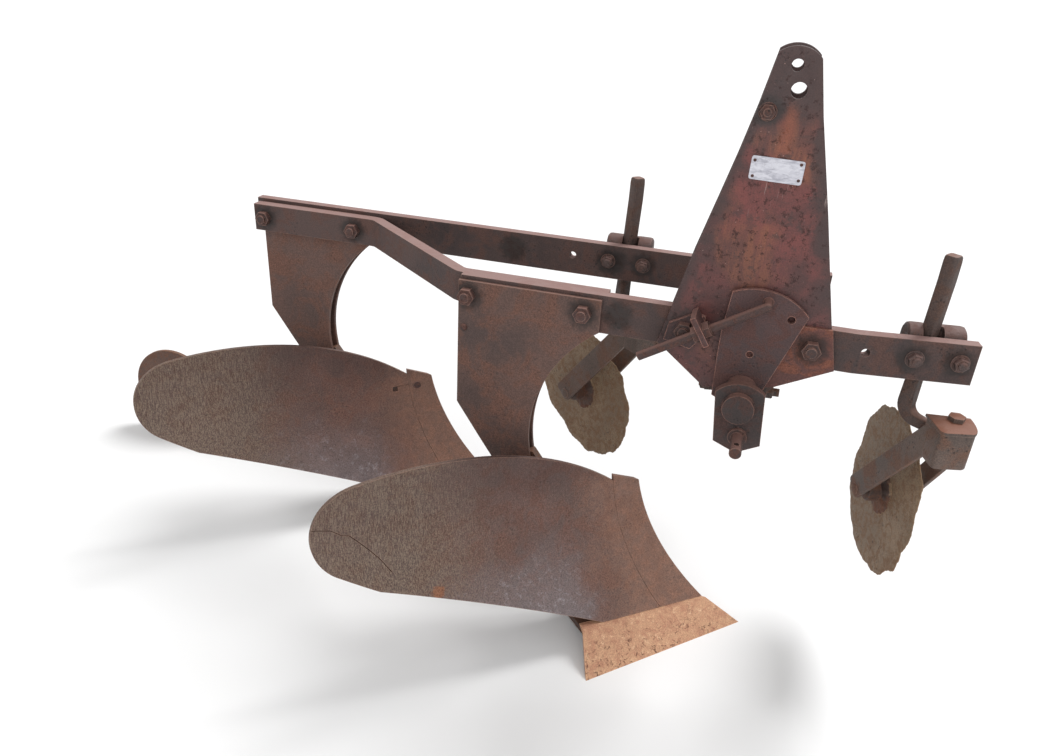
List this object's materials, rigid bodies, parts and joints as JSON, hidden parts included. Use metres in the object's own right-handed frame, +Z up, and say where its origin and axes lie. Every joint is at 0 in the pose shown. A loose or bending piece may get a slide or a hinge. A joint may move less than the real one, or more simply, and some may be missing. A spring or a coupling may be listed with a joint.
{
  "type": "two-furrow mounted moldboard plough",
  "caption": "Rusted tractor-mounted plough: mast, beams, moldboard bottoms with shares and landsides, swivelling notched disc coulters and a tail wheel.",
  "frame": {"origin": "on the ground below the middle of the whole plough", "axes": "+X the direction of travel, +Y the unploughed left side, +Z up"},
  "size_m": [2.164, 1.0459, 1.26],
  "materials": {
    "mast_red": "faded, rusted paint",
    "frame_rust": "rusted dark paint",
    "board_steel": "soil-polished, rusting",
    "share_rust": "orange rust over bare steel",
    "disc_rust": "dry brown rust",
    "cast_rust": "rusted casting",
    "dark_steel": "dark rusted bolts and pins"
  },
  "bodies": {
    "frame": {"right_beam": "frame_rust", "left_beam": "frame_rust", "bent_beam": "frame_rust", "mast_plate_right": "mast_red", "mast_plate_left": "mast_red", "mast_foot_plate": "mast_red", "mast_spacers": "frame_rust", "mast_bolts": "dark_steel", "sector_plate": "frame_rust", "rod_bracket": "dark_steel", "levelling_rod": "dark_steel", "shaft_bearing": "cast_rust", "shaft_hanger": "frame_rust", "cross_shaft": "frame_rust", "right_crank": "frame_rust", "left_crank": "frame_rust", "right_link_pin": "dark_steel", "left_link_pin": "dark_steel", "front_standard_right": "frame_rust", "front_standard_left": "frame_rust", "front_standard_bolts": "dark_steel", "front_frog": "cast_rust", "front_share": "share_rust", "front_shin": "board_steel", "front_moldboard": "board_steel", "front_landside": "board_steel", "rear_standard_right": "frame_rust", "rear_standard_left": "frame_rust", "rear_standard_bolts": "dark_steel", "rear_frog": "cast_rust", "rear_share": "share_rust", "rear_shin": "board_steel", "rear_moldboard": "board_steel", "rear_landside": "board_steel", "front_coulter_clamp": "cast_rust", "front_coulter_shank": "frame_rust", "rear_coulter_clamp": "cast_rust", "rear_coulter_shank": "frame_rust", "tail_wheel_arm": "frame_rust"},
    "front_coulter_swing": {"front_coulter_yoke": "cast_rust", "front_pivot_bolt": "dark_steel", "front_coulter_axle": "dark_steel"},
    "front_disc": {"front_coulter_disc": "disc_rust"},
    "rear_coulter_swing": {"rear_coulter_yoke": "cast_rust", "rear_pivot_bolt": "dark_steel", "rear_coulter_axle": "dark_steel"},
    "rear_disc": {"rear_coulter_disc": "disc_rust"},
    "tail_roller": {"tail_wheel": "disc_rust"}
  },
  "joints": [
    {"name": "front_coulter_swivel", "type": "hinge", "parent": "frame", "child": "front_coulter_swing", "pos_m": [1.03073, -0.15077, 0.631], "axis": [0, 0, 1], "range_deg": [-5, 62]},
    {"name": "front_disc_spin", "type": "hinge", "parent": "front_coulter_swing", "child": "front_disc", "pos_m": [0.98496, 0.02125, 0.397], "axis": [-0.9664, -0.2571, 0], "continuous": true},
    {"name": "rear_coulter_swivel", "type": "hinge", "parent": "frame", "child": "rear_coulter_swing", "pos_m": [0.42569, 0.12424, 0.631], "axis": [0, 0, 1], "range_deg": [-48, 18]},
    {"name": "rear_disc_spin", "type": "hinge", "parent": "rear_coulter_swing", "child": "rear_disc", "pos_m": [0.29135, 0.24102, 0.397], "axis": [-0.6561, -0.7547, 0], "continuous": true},
    {"name": "tail_wheel_spin", "type": "hinge", "parent": "frame", "child": "tail_roller", "pos_m": [-0.95096, 0.27528, 0.131], "axis": [0, 1, 0], "continuous": true}
  ]
}
